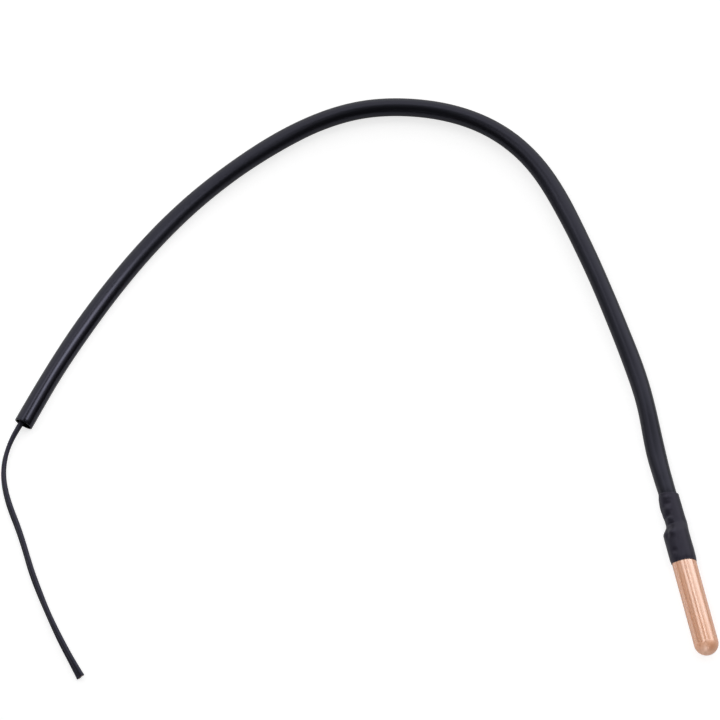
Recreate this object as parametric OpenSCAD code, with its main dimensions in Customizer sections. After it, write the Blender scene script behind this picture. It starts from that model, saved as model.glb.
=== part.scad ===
// Defrost sensor: a thermistor potted in a closed-end copper shell, on a thin flat twin lead that
// runs through a long tubular sleeve, with a heat-shrink boot over the joint of shell and sleeve.
// Millimetres, +Z up. The sensor lies on z = 0. The shell's axis runs along Y, with its dome
// towards -Y and its mouth towards +Y. The origin is under the middle of the shell and boot.

/* [Copper shell] */
// Outer diameter of the shell
shell_od = 6.2; // [5.4:0.1:8]
// Wall of the shell
shell_wall = 0.5; // [0.3:0.05:0.6]
// Length of the shell with its dome
shell_l = 32.5; // [28:0.5:60]
// Depth of the rolled groove that grips the potting
groove_depth = 0.3; // [0.1:0.05:0.35]
// Radius of the roller that made the groove
groove_r = 0.5; // [0.4:0.05:0.6]
// Distance of the groove's middle from the boot's lower edge
groove_inset = 0.96; // [0.8:0.02:2]

/* [Thermistor] */
// Width and length of the square chip
chip_w = 1.2; // [0.8:0.1:1.6]
// Thickness of the chip
chip_t = 0.5; // [0.3:0.1:0.8]
// Diameter of the epoxy drop round the chip
coat_d = 2.6; // [2.2:0.1:3.2]
// Length of the epoxy drop without its tail
coat_l = 3.4; // [3:0.1:5]
// Length of the drop's tail along the wires
coat_tail = 1.4; // [0.8:0.1:2.5]
// Diameter of the end of the tail
coat_tail_d = 1.5; // [1.4:0.1:2]
// Distance of the drop from the inside of the dome
coat_inset = 0.6; // [0.3:0.1:2]
// Diameter of the chip's wires
wire_d = 0.3; // [0.2:0.05:0.4]
// Length of the wires between the drop and the splices
wire_l = 3.4; // [2:0.1:6]

/* [Splices] */
// Distance between the two splices
splice_pitch = 1.7; // [1.6:0.05:2.2]
// Outer diameter of a crimp ferrule
ferrule_od = 0.9; // [0.8:0.05:1]
// Length of a crimp ferrule
ferrule_l = 5.4; // [4:0.1:8]
// Width of each of the two crimps
crimp_l = 1; // [0.6:0.1:1.4]
// Depth of the crimps
crimp_depth = 0.06; // [0.03:0.01:0.08]
// Wall between the wire's end and the conductor's end
ferrule_stop = 0.4; // [0.2:0.1:0.8]
// Wall of the tube over a splice
splice_tube_wall = 0.25; // [0.15:0.05:0.3]
// Length of the tube past each end of the ferrule
splice_tube_over = 0.8; // [0.4:0.1:1.5]

/* [Twin lead] */
// Diameter of one insulated core
core_d = 1.2; // [1:0.05:1.5]
// Overlap of the two cores, which is the web between them
core_web = 0.1; // [0.05:0.05:0.2]
// Diameter of a conductor
conductor_d = 0.5; // [0.3:0.05:0.6]
// Length of the split cores between the splices and the jacket
core_split = 4; // [3:0.5:6]

/* [Outer sleeve] */
// Outer diameter of the sleeve
sleeve_od = 4.9; // [4.4:0.1:5.8]
// Wall of the sleeve
sleeve_wall = 0.4; // [0.3:0.05:0.5]
// Slant of the cut at the sleeve's free end, in degrees
sleeve_slant = 9; // [0:1:15]

/* [Boot] */
// Wall of the shrunk boot
boot_wall = 0.25; // [0.2:0.05:0.4]
// Wall at the boot's lower edge, where it is drawn thin
boot_edge_wall = 0.2; // [0.15:0.05:0.2]
// Length of the boot over the shell
boot_on_shell = 7.5; // [6:0.5:10]
// Length of the boot over the sleeve
boot_on_sleeve = 10.5; // [8:0.5:11]
// Length in which the boot steps down from the shell to the sleeve
boot_step = 1.8; // [1.2:0.1:3]
// Slant of the boot's lower edge, in degrees
boot_slant_low = 5; // [0:1:8]
// Slant of the boot's upper edge, in degrees
boot_slant_high = 11; // [0:1:14]

/* [Fits] */
// Gap of a bond line between two cast or shrunk pieces
bond = 0.01; // [0.01:0.01:0.03]
// Gap between the shell's mouth and the sleeve's end
butt_gap = 0.3; // [0.2:0.1:0.6]
// Distance that the sleeve's side stands out past the shell's side
butt_out = 0.25; // [0:0.05:0.3]
// Length of the shell's mouth that the potting leaves empty
potting_gap = 3; // [2:0.5:5]
// Gap between the loose lead and the sleeve's bore
lead_play = 0.1; // [0.05:0.01:0.2]

/* [Hidden] */
$fn = 64;

shell_r = shell_od / 2;
bore_r = shell_r - shell_wall;
sleeve_r = sleeve_od / 2;
coat_r = coat_d / 2;
wire_r = wire_d / 2;
conductor_r = conductor_d / 2;
core_r = core_d / 2;
core_pitch = core_d - core_web;
splice_tube_r = ferrule_od / 2 + bond + splice_tube_wall;

// The shell lies in its boot, so its axis is the boot's outer radius above the surface. The sleeve
// lies in the boot too, at the same height over the surface, pushed towards the shell's +X side.
axis_z = shell_r + boot_wall;
butt_x = shell_r - sleeve_r + butt_out;

// The highest corner of the boot's upper edge ends the probe, and the origin is at half its length.
boot_rise = (sleeve_r + boot_wall) * tan(boot_slant_high);
tip_y = -(shell_l + boot_on_sleeve + boot_rise) / 2;
mouth_y = tip_y + shell_l;

// Places along the shell's axis, each measured from the tip of the dome.
coat_from = shell_wall + coat_inset;
coat_end = coat_from + coat_l;
tail_end = coat_end + coat_tail;
chip_at = coat_from + coat_l / 2;
ferrule_from = tail_end + wire_l;
ferrule_mid = ferrule_from + ferrule_l / 2;
ferrule_end = ferrule_from + ferrule_l;
jacket_from = ferrule_end + core_split;
potting_end = shell_l - potting_gap;
groove_at = shell_l - boot_on_shell + groove_inset;

// Wires and cores stay straight for this length past the piece that holds them, before they bend.
straight_l = 0.2;

// Centre of the sleeve from its butt end to its free end: x and y from the middle of the shell's
// mouth, then the lift of the sleeve above the surface, which is the boot's wall inside the boot.
SLEEVE_ROUTE = [
    [butt_x, butt_gap, boot_wall], [0.75, 11.5, boot_wall], [0.5, 22.5, 0], [1.5, 32.5, 0],
    [1.5, 42.5, 0], [0.5, 53, 0], [-0.75, 64, 0], [-2.25, 75.5, 0], [-4.25, 87, 0], [-6.5, 98, 0],
    [-9.75, 108.5, 0], [-15.25, 117.75, 0], [-22, 124.5, 0], [-31, 130, 0], [-41, 133.5, 0],
    [-52, 135.5, 0], [-62.5, 134.75, 0], [-73, 132.25, 0], [-83.5, 128.25, 0], [-94, 123.25, 0],
    [-104.5, 117.25, 0], [-114.5, 110.25, 0], [-124, 102.5, 0], [-133.5, 93.75, 0],
    [-142.5, 84.5, 0], [-151, 74.75, 0], [-159, 64.75, 0]
];

// Centre of the lead from the sleeve's free end to its cut end: x and y as above, the roll of the
// two cores from upright in degrees, and the lift of the lower core above the surface.
LEAD_ROUTE = [
    [-162.25, 63, -10, 0.4], [-164.5, 59.25, -7, 0.1], [-166, 54.5, -3, 0], [-166.5, 49.5, -12, 0],
    [-166, 43.5, -25, 0], [-165, 38.25, -25, 0], [-164, 31, -20, 0], [-163.5, 26, -25, 0],
    [-162.5, 20.5, -25, 0], [-161.5, 15.75, -15, 0], [-160.5, 11.5, -15, 0], [-159, 6, -30, 0],
    [-157.75, 2, -25, 0], [-155.75, -4, -55, 0]
];

// Puckers of the boot over the sleeve: distance from the shell's mouth, angle round the boot with
// 0 at +X and 90 on top, height, half length, and half spread in degrees.
PUCKERS = [[7.6, 185, 0.25, 3.2, 55], [4.9, 130, 0.12, 0.7, 35], [9.3, 110, 0.1, 0.8, 40]];

function unit(v) = v / norm(v);
function blend(a, b, t) = a * (1 - t) + b * t;
function ease(t) = t <= 0 ? 0 : t >= 1 ? 1 : t * t * (3 - 2 * t);
function ring(r, sides, from) = [
    for (i = [0:sides - 1]) let (a = from + 360 * i / sides) r * [cos(a), sin(a)]
];

// A frame along a path is [centre, side, up], with side to the right of the way the path runs.
function along(path, i) =
    let (last = len(path) - 1)
    i == 0 ? unit(path[1] - path[0]) :
    i == last ? unit(path[last] - path[last - 1]) :
    unit(unit(path[i] - path[i - 1]) + unit(path[i + 1] - path[i]));
function frame(path, i) =
    let (t = along(path, i), side = unit(cross(t, [0, 0, 1])))
    [path[i], side, cross(side, t)];
function in_frame(f, p) = f[0] + f[1] * p[0] + f[2] * p[1];

// Faces of swept solids. A loop lists a ring's point numbers, counter-clockwise against the path,
// and a band joins two loops of one length.
function loop(from, n) = [for (i = [0:n - 1]) from + i];
function shifted(loop, by) = [for (p = loop) p + by];
function flipped(faces) = [for (f = faces) [f[0], f[2], f[1]]];
function band(a, b) = [
    for (i = [0:len(a) - 1]) let (j = (i + 1) % len(a))
        each [[a[i], b[j], b[i]], [a[i], a[j], b[j]]]
];
function walls(loop, size, rings) = [
    for (k = [0:rings - 2]) each band(shifted(loop, k * size), shifted(loop, (k + 1) * size))
];

// A swept wall between outer and inner rings.
module hollow(outer, inner) {
    n = len(outer[0]);
    rings = len(outer);
    out = loop(0, n);
    in = loop(rings * n, n);
    last = (rings - 1) * n;
    polyhedron(
        [for (r = concat(outer, inner)) each r],
        concat(
            walls(out, n, rings), flipped(walls(in, n, rings)),
            flipped(band(out, in)), band(shifted(out, last), shifted(in, last))
        )
    );
}

// A swept solid bar.
module bar(rings) {
    n = len(rings[0]);
    ends = loop(0, n);
    polyhedron(
        [for (r = rings) each r],
        concat(
            walls(ends, n, len(rings)),
            [[for (i = [n - 1:-1:0]) i], shifted(ends, (len(rings) - 1) * n)]
        )
    );
}

// Sleeve: its polygon stands on a corner, so it touches the surface on its true radius.
SLEEVE_SIDES = 12;
sleeve_path = [for (p = SLEEVE_ROUTE) [p[0], p[1] + mouth_y, sleeve_r + p[2]]];
sleeve_last = len(sleeve_path) - 1;
function sleeve_ring(i, r) =
    let (cut = i == sleeve_last ? tan(sleeve_slant) : 0, f = frame(sleeve_path, i))
    [for (p = ring(r, SLEEVE_SIDES, -90)) in_frame(f, p) - along(sleeve_path, i) * cut * p[1]];

// The loose lead lies on the floor of the sleeve's bore. Its first core touches the bore at the
// seat angle from straight down, and the pair turns from flat to upright on its way to the mouth.
LEAD_TURN_FROM = 0.6;
LEAD_SEAT_MOUTH = 35;
seat_r = (sleeve_r - sleeve_wall) * cos(180 / SLEEVE_SIDES) - core_r - lead_play;
seat_flat = -asin(core_pitch / 2 / seat_r);
function lead_turn(i) = ease((i / sleeve_last - LEAD_TURN_FROM) / (1 - LEAD_TURN_FROM));
function lead_roll(i) = 90 * (1 - lead_turn(i));
function lead_offset(i) =
    let (a = blend(seat_flat, LEAD_SEAT_MOUTH, lead_turn(i)), roll = lead_roll(i))
    i == 0 ? [-butt_x, shell_r - sleeve_r] / 2 :
    seat_r * [sin(a), -cos(a)] + core_pitch / 2 * [sin(roll), cos(roll)];

// Stations of the lead: centre, roll, and distance between the cores. The jacket starts at one of
// them, and before it the split cores lead into the splices.
JACKET_STATION = 3;
lead_stations = concat(
    [for (s = [
        [ferrule_mid + ferrule_stop / 2 + bond, splice_pitch],
        [ferrule_end + straight_l, splice_pitch], [jacket_from - straight_l, core_pitch],
        [jacket_from, core_pitch], [potting_end + straight_l, core_pitch]
    ]) [[0, tip_y + s[0], axis_z], 90, s[1]]],
    [for (i = [0:sleeve_last])
        [in_frame(frame(sleeve_path, i), lead_offset(i)), lead_roll(i), core_pitch]],
    [for (p = LEAD_ROUTE)
        [[p[0], p[1] + mouth_y, core_r + core_pitch / 2 * cos(p[2]) + p[3]], p[2], core_pitch]]
);
lead_path = [for (s = lead_stations) s[0]];

// A point of the lead's section: side is 1 or -1 for the core, and the polar place is from its middle.
function core_point(k, side, r, a) =
    let (roll = lead_stations[k][1], p = side * [lead_stations[k][2] / 2 + r * cos(a), r * sin(a)])
    in_frame(frame(lead_path, k), [
        p[0] * sin(roll) - p[1] * cos(roll), p[0] * cos(roll) + p[1] * sin(roll)
    ]);
// One core's outline runs from valley to valley of the web, and its bore has as many points.
CORE_SIDES = 8;
core_valley = acos(-core_pitch / core_d);
function core_outline(k, side, from, to) = [
    for (i = [from:to]) core_point(k, side, core_r, core_valley * (2 * i / (CORE_SIDES - 1) - 1))
];
function core_ring(k, side, r) = [
    for (i = [0:CORE_SIDES - 1]) core_point(k, side, r, 360 * (i + 0.5) / CORE_SIDES - 180)
];

// Thermistor wires: along the chip's faces, out of the drop, and apart to the splices.
WIRE_SIDES = 8;
wire_x = chip_t / 2 + wire_r + bond;
wire_from = chip_at - chip_w / 2;
function wire_path(side) = [
    for (p = [
        [wire_x, wire_from], [wire_x, tail_end + straight_l],
        [splice_pitch / 2, ferrule_from - straight_l],
        [splice_pitch / 2, ferrule_mid - ferrule_stop / 2 - bond]
    ]) [side * p[0], tip_y + p[1], axis_z]
];

// Places a shape that is drawn along Z on the shell's axis, from the given distance behind the tip.
module on_axis(from_tip = 0, side = 0) {
    translate([side * splice_pitch / 2, tip_y + from_tip, axis_z]) rotate([-90, 0, 0]) children();
}

// Half section of a round bar with a half-round end, to be revolved.
module half_bar(r, from, to) {
    intersection() {
        translate([0, from + r]) circle(r = r);
        translate([0, from - r]) square([2 * r, 2 * r]);
    }
    translate([0, from + r]) square([r, to - from - r]);
}

// Section of the rolled groove, or of the bead that it raises inside the wall.
module roller(r) {
    translate([shell_r + groove_r - groove_depth, groove_at]) circle(r = r);
}

module probe_shell() {
    color("#c98a64")
        on_axis() rotate_extrude() difference() {
            half_bar(shell_r, 0, shell_l);
            roller(groove_r);
            difference() {
                half_bar(bore_r, shell_wall, shell_l + shell_wall);
                roller(groove_r + shell_wall);
            }
        }
}

module thermistor_chip() {
    color("#55565a")
        on_axis(chip_at) cube([chip_t, chip_w, chip_w], center = true);
}

// The epoxy drop's outer form, grown by a gap where it is cut out of the potting.
module coat_form(gap) {
    on_axis() rotate_extrude() {
        half_bar(coat_r + gap, coat_from - gap, coat_end);
        polygon([
            [0, coat_end], [coat_r + gap, coat_end],
            [coat_tail_d / 2 + gap, tail_end + gap], [0, tail_end + gap]
        ]);
    }
}

module bead_coat() {
    color("#30413a")
        difference() {
            coat_form(0);
            on_axis(chip_at) cube([chip_t, chip_w, chip_w] + 2 * bond * [1, 1, 1], center = true);
            for (side = [-1, 1])
                translate([side * wire_x, 0, 0]) on_axis(wire_from - bond)
                    cylinder(r = wire_r + bond, h = tail_end);
        }
}

module wire_form(side, r) {
    path = wire_path(side);
    bar([
        for (i = [0:len(path) - 1])
            [for (p = ring(r, WIRE_SIDES, 180 / WIRE_SIDES)) in_frame(frame(path, i), p)]
    ]);
}

module thermistor_wire_a() {
    color("#c4c6c8") wire_form(1, wire_r);
}

module thermistor_wire_b() {
    color("#c4c6c8") wire_form(-1, wire_r);
}

// A butt ferrule with a crimp over each of the two ends that meet in it.
module splice(side) {
    r = ferrule_od / 2;
    bore_l = (ferrule_l - ferrule_stop) / 2;
    waist = r - crimp_depth;
    first = ferrule_l / 4;
    on_axis(ferrule_from, side) difference() {
        rotate_extrude() polygon(concat(
            [[0, 0], [r, 0]],
            [for (mid = [first, ferrule_l - first]) each [
                [r, mid - crimp_l / 2], [waist, mid - crimp_l / 2 + crimp_depth],
                [waist, mid + crimp_l / 2 - crimp_depth], [r, mid + crimp_l / 2]
            ]],
            [[r, ferrule_l], [0, ferrule_l]]
        ));
        translate([0, 0, bore_l - ferrule_l]) cylinder(r = wire_r + bond, h = ferrule_l);
        translate([0, 0, ferrule_l - bore_l]) cylinder(r = conductor_r + bond, h = ferrule_l);
    }
}

module splice_a() {
    color("#b9b7b2") splice(1);
}

module splice_b() {
    color("#b9b7b2") splice(-1);
}

module splice_tube_form(side, r, gap) {
    on_axis(ferrule_from - splice_tube_over - gap, side)
        cylinder(r = r, h = ferrule_l + 2 * (splice_tube_over + gap));
}

module splice_tube(side) {
    difference() {
        splice_tube_form(side, splice_tube_r, 0);
        splice_tube_form(side, ferrule_od / 2 + bond, 1);
    }
}

module splice_tube_a() {
    color("#c08a2c") splice_tube(1);
}

module splice_tube_b() {
    color("#c08a2c") splice_tube(-1);
}

module conductor_form(side, r, first, last) {
    bar([for (k = [first:last]) core_ring(k, side, r)]);
}

module conductor_a() {
    color("#b5673c") conductor_form(1, conductor_r, 0, len(lead_path) - 1);
}

module conductor_b() {
    color("#b5673c") conductor_form(-1, conductor_r, 0, len(lead_path) - 1);
}

// The flat twin lead's insulation. Each ring holds the outline of both cores and then the two
// bores. At the ends, each core's outline closes across the web, so each bore has a loop of its own.
module lead_jacket() {
    n = CORE_SIDES;
    rings = len(lead_path) - JACKET_STATION;
    size = 4 * n - 2;
    cores = [loop(0, n), concat(loop(n - 1, n - 1), [0])];
    bores = [loop(2 * n - 2, n), loop(3 * n - 2, n)];
    last = (rings - 1) * size;
    color("#3a3944")
        polyhedron(
            [for (k = [JACKET_STATION:len(lead_path) - 1]) each concat(
                core_outline(k, 1, 0, n - 1), core_outline(k, -1, 1, n - 2),
                core_ring(k, 1, conductor_r + bond), core_ring(k, -1, conductor_r + bond)
            )],
            concat(
                walls(loop(0, 2 * n - 2), size, rings),
                [for (i = [0, 1]) each concat(
                    flipped(walls(bores[i], size, rings)),
                    flipped(band(cores[i], bores[i])),
                    band(shifted(cores[i], last), shifted(bores[i], last))
                )]
            )
        );
}

module outer_sleeve() {
    color("#3c3a40")
        hollow(
            [for (i = [0:sleeve_last]) sleeve_ring(i, sleeve_r)],
            [for (i = [0:sleeve_last]) sleeve_ring(i, sleeve_r - sleeve_wall)]
        );
}

// The boot is a skin shrunk over two round pieces that butt off-centre. A point of the skin is
// found by its outward direction: on the shell, on the sleeve, or on whichever stands further out,
// which is the tight skin round both. Those are blended over the step at the shell's mouth, where
// the skin bridges the two and leaves them a little slack.
BOOT_SIDES = 36;
BOOT_EASE = 0.6;
BOOT_THIN_L = 0.7;
BOOT_THICKEN_L = 0.8;
BOOT_PITCH = 0.6;
BOOT_SLACK = 0.02;
boot_play = bond + shell_r * (1 / cos(180 / BOOT_SIDES) - 1);
step_end = butt_gap + boot_step;
function sleeve_mid(y) =
    let (a = SLEEVE_ROUTE[0], b = SLEEVE_ROUTE[1])
    [blend(a[0], b[0], max(0, (y - a[1]) / (b[1] - a[1]))), sleeve_r + boot_wall];
function pucker(y, angle) = [
    for (p = PUCKERS)
        let (u = (y - p[0]) / p[3], v = (angle - p[1]) / p[4])
        abs(u) < 1 && abs(v) < 1 ? p[2] * pow(cos(90 * u) * cos(90 * v), 2) : 0
] * [for (p = PUCKERS) 1];
function reached(y) = ease((y + BOOT_EASE) / BOOT_EASE);
function stepped(y) = ease((y - butt_gap) / boot_step);
function skin(y, angle, grow) =
    let (
        n = [cos(angle), sin(angle)],
        shell = [0, axis_z] + (shell_r + grow) * n,
        sleeve = sleeve_mid(y) + (sleeve_r + grow) * n,
        both = shell * n >= sleeve * n ? shell : sleeve
    )
    blend(blend(shell, both, reached(y)), sleeve, stepped(y)) + pucker(y, angle) * n;
function skin_ring(y, grow) =
    let (
        slant = y == -boot_on_shell ? tan(boot_slant_low) : y == boot_on_sleeve ? tan(boot_slant_high) : 0,
        r = grow + (y < 0 ? shell_r : sleeve_r)
    )
    [for (i = [0:BOOT_SIDES - 1])
        let (angle = 360 * i / BOOT_SIDES, cut = y - r * cos(angle) * slant, p = skin(cut, angle, grow))
            [p[0], mouth_y + cut, p[1]]];
function boot_wall_at(y) =
    let (t = (y + boot_on_shell - BOOT_THIN_L) / BOOT_THICKEN_L)
    blend(boot_edge_wall, boot_wall, min(max(t, 0), 1));
boot_ys = concat(
    [-boot_on_shell, BOOT_THIN_L - boot_on_shell, BOOT_THIN_L + BOOT_THICKEN_L - boot_on_shell],
    [-BOOT_EASE, -BOOT_EASE / 2, 0, butt_gap],
    [for (t = [1:4]) butt_gap + boot_step * t / 5],
    [for (y = [step_end:BOOT_PITCH:boot_on_sleeve - 1]) y],
    [boot_on_sleeve]
);

module boot() {
    color("#37353c")
        hollow(
            [for (y = boot_ys) skin_ring(y, boot_wall_at(y))],
            [for (y = boot_ys) skin_ring(y, boot_play + BOOT_SLACK * reached(y) * (1 - stepped(y)))]
        );
}

// Resin fills the shell round all that it holds, except for the last stretch before the mouth.
module potting() {
    color("#2b241f")
        difference() {
            on_axis() rotate_extrude() difference() {
                half_bar(bore_r - bond, shell_wall + bond, potting_end);
                roller(groove_r + shell_wall + bond);
            }
            coat_form(bond);
            for (side = [-1, 1]) {
                wire_form(side, wire_r + bond);
                splice_tube_form(side, splice_tube_r + bond, bond);
                conductor_form(side, conductor_r + bond, 1, JACKET_STATION);
                translate([side * core_pitch / 2, 0, 0]) on_axis(jacket_from - bond)
                    cylinder(r = core_r + bond, h = shell_l);
            }
        }
}

probe_shell();
boot();
outer_sleeve();
lead_jacket();
conductor_a();
conductor_b();
thermistor_chip();
bead_coat();
thermistor_wire_a();
thermistor_wire_b();
splice_a();
splice_b();
splice_tube_a();
splice_tube_b();
potting();
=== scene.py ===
# %% [markdown]
# Defrost sensor
#
# A defrost sensor tells a fridge or freezer how cold its coil is. A thermistor bead sits in the
# closed end of a copper tube, a thin twin lead brings its signal out, a long black sleeve protects
# the lead, and a heat-shrink boot holds the sleeve to the tube. This lesson dresses a finished CAD
# model of it: the model says where each piece is, and Blender gives each visible piece its true
# surface and finish. The first step loads that model.

import bmesh
import bpy
import numpy as np
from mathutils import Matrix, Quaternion, Vector


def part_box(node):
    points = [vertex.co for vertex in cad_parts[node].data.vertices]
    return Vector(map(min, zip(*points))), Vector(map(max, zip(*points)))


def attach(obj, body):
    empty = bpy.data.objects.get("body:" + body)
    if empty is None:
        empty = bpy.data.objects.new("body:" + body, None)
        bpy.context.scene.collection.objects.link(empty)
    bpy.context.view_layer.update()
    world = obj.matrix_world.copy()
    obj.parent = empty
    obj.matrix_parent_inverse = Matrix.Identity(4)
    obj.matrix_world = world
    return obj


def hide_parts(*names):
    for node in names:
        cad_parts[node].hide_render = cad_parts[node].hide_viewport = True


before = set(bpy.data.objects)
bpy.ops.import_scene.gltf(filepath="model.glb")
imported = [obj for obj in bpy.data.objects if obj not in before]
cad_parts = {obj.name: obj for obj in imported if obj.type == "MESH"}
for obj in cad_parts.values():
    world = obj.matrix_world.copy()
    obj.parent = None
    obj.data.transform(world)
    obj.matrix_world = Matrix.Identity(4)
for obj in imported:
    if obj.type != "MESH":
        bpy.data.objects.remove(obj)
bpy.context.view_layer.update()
print("nodes:", ", ".join(sorted(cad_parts)))

# %% [markdown]
# Blender measures in metres, and a sensor this small is drawn in millimetres, so each of its sizes
# below is a number of millimetres times MM. Its place comes from the frame: the tube's radius, the
# height of its axis, its closed tip and its open mouth are all read from its CAD node.

# %% Sizes that the frame gives
MM = 0.001

shell_low, shell_high = (np.array(corner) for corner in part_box("probe_shell"))
SHELL_R = (shell_high[0] - shell_low[0]) / 2
AXIS_Z = (shell_high[2] + shell_low[2]) / 2
TIP_Y, MOUTH_Y = shell_low[1], shell_high[1]
print(f"tube radius {SHELL_R / MM:.2f} mm, length {(MOUTH_Y - TIP_Y) / MM:.2f} mm")

# %% [markdown]
# The camera comes first, because everything is judged through it. The sensor was photographed from
# above, a little from the side of the tube's closed end. A long lens far away would flatten the
# picture, and a short one close by would make the near tube too big. The tube and the far bend of
# the sleeve differ in size by about a tenth, which fits a 110 mm lens at 58 cm.

# %% Camera
CAMERA_ELEVATION = np.radians(70)
CAMERA_AZIMUTH = np.radians(-12.215)
CAMERA_DISTANCE = 584.06 * MM
CAMERA_TARGET = np.array([-68.95, 75.23, 0]) * MM
CAMERA_LENS, CAMERA_SENSOR = 110, 36

toward_camera = np.array([
    np.sin(CAMERA_AZIMUTH) * np.cos(CAMERA_ELEVATION),
    -np.cos(CAMERA_AZIMUTH) * np.cos(CAMERA_ELEVATION),
    np.sin(CAMERA_ELEVATION),
])
camera_data = bpy.data.cameras.new("camera")
camera_data.lens = CAMERA_LENS
camera_data.sensor_width = CAMERA_SENSOR
camera_data.clip_start = 10 * MM
camera = bpy.data.objects.new("camera", camera_data)
camera.location = CAMERA_TARGET + CAMERA_DISTANCE * toward_camera
camera.rotation_euler = Vector(-toward_camera).to_track_quat("-Z", "Y").to_euler()
bpy.context.collection.objects.link(camera)
bpy.context.scene.camera = camera
print(f"camera {CAMERA_DISTANCE / MM:.0f} mm away, with a {CAMERA_LENS} mm lens")

# %% [markdown]
# A cord's route is a short list of points, and the cord itself is one smooth curve
# near them. A spline through the points would show every small error in them as a wobble. The
# curve here is a moving mean along the route instead, which evens out such errors. One mean cuts
# the inside of each bend, so the second mean says by how much, and that is given back.

# %% Smooth curves from listed routes
def lengths_along(points):
    """Length walked from the first point to each point: the running sum of the distances."""
    steps = np.linalg.norm(np.diff(points[:, :3], axis=0), axis=1)
    return np.concatenate([[0], np.cumsum(steps)])


def resample(points, step):
    """Points at equal steps along a polyline. Every column is interpolated over the length walked."""
    walked = lengths_along(points)
    places = np.linspace(0, walked[-1], int(round(walked[-1] / step)) + 1)
    return np.stack([np.interp(places, walked, column) for column in points.T], axis=1)


def moving_mean(points, width):
    """Mean of each point's neighbours along the curve, weighted by a bell curve of that many points.

    The bell curve is cut off at four times that width. The route goes on past each end turned about
    the end point, so the ends stay where they are.
    """
    reach = int(4 * width)
    before = 2 * points[0] - points[reach:0:-1]
    after = 2 * points[-1] - points[-2:-reach - 2:-1]
    longer = np.concatenate([before, points, after])
    offsets = np.arange(-reach, reach + 1)
    weights = np.exp(-0.5 * (offsets / width) ** 2)
    neighbours = longer[np.arange(len(points))[:, None] + offsets + reach]
    return np.einsum("ijk,j->ik", neighbours, weights / weights.sum())


def smooth_route(points, step, width):
    """Twice the moving mean, less the mean of that mean, of a route resampled at equal steps."""
    points = resample(points, step)
    once = moving_mean(points, width / step)
    return resample(2 * once - moving_mean(once, width / step), step)


def frames_along(path):
    """Two unit vectors at each point: level to the right of the path, and up across it.

    The right is the direction ahead crossed with straight up, and up across the path is that right
    crossed with the direction ahead.
    """
    ahead = np.gradient(path, axis=0)
    ahead /= np.linalg.norm(ahead, axis=1, keepdims=True)
    side = np.cross(ahead, [0, 0, 1])
    side /= np.linalg.norm(side, axis=1, keepdims=True)
    return side, np.cross(side, ahead)


def ease(t):
    """From 0 to 1 as t does, flat at both ends: three t squared less two t cubed."""
    t = np.clip(t, 0, 1)
    return t * t * (3 - 2 * t)


# %% [markdown]
# The sleeve's route starts inside the boot, against the tube's mouth, and ends at its open end.
# Each point is a place on the table, with y counted from the mouth, and a lift above it: the boot's
# wall holds the sleeve a quarter of a millimetre up, and past the boot it lies on the table.

# %% Route of the outer sleeve
SLEEVE_R = 2.45 * MM
ROUTE_STEP = 1 * MM

# Width of the moving mean that evens out the route.
SLEEVE_EVEN = 7 * MM

SLEEVE_ROUTE = MM * np.array([
    [0.9, 0.3, 0.25], [0.75, 11.5, 0.25], [0.5, 22.5, 0], [1.5, 32.5, 0], [1.5, 42.5, 0],
    [0.5, 53, 0], [-0.75, 64, 0], [-2.25, 75.5, 0], [-4.25, 87, 0], [-6.5, 98, 0],
    [-9.75, 108.5, 0], [-15.25, 117.75, 0], [-22, 124.5, 0], [-31, 130, 0], [-41, 133.5, 0],
    [-52, 135.5, 0], [-62.5, 134.75, 0], [-73, 132.25, 0], [-83.5, 128.25, 0], [-94, 123.25, 0],
    [-104.5, 117.25, 0], [-114.5, 110.25, 0], [-124, 102.5, 0], [-133.5, 93.75, 0],
    [-142.5, 84.5, 0], [-151, 74.75, 0], [-159, 64.75, 0],
])

sleeve_path = smooth_route(SLEEVE_ROUTE + [0, MOUTH_Y, SLEEVE_R], ROUTE_STEP, SLEEVE_EVEN)
sleeve_path[:, 2] = np.maximum(sleeve_path[:, 2], SLEEVE_R)
sleeve_s = lengths_along(sleeve_path)
SLEEVE_L = sleeve_s[-1]
print(f"sleeve {SLEEVE_L / MM:.1f} mm long")

# %% [markdown]
# The twin lead is two insulated cores side by side. Its route has five numbers a point: the place,
# the roll of the pair from standing on edge, and the distance between the cores. It starts at the
# splices in the tube, where the cores are apart, lies on the floor of the sleeve, and leaves the
# sleeve standing on edge, because that is how it comes off its coil.

# %% Twin lead in the tube and the sleeve
CORE_R = 0.6 * MM
CORE_PITCH = 1.1 * MM
SPLICE_PITCH = 1.7 * MM
LEAD_TURN_FROM = 0.6
LEAD_SETTLES_IN = 10 * MM
LEAD_SEAT_R = 1.25 * MM
LEAD_SEAT_END = np.radians(35)

# Distances from the tube's tip: conductor ends, ends of the split, jacket's start, end of the resin.
CONDUCTOR_FROM, SPLIT_FROM, JACKET_FROM, RESIN_TO = np.array([12.21, 14.9, 18.7, 29.7]) * MM


def lead_in_shell():
    """Stations on the tube's axis, with the pair lying flat, from the splices to the resin's end."""
    places = np.array([CONDUCTOR_FROM, SPLIT_FROM, JACKET_FROM, RESIN_TO]) + TIP_Y
    pitch = np.array([SPLICE_PITCH, SPLICE_PITCH, CORE_PITCH, CORE_PITCH])
    flat = np.full(4, 90.0)
    return np.stack([0 * places, places, 0 * places + AXIS_Z, flat, pitch], axis=1)


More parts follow.
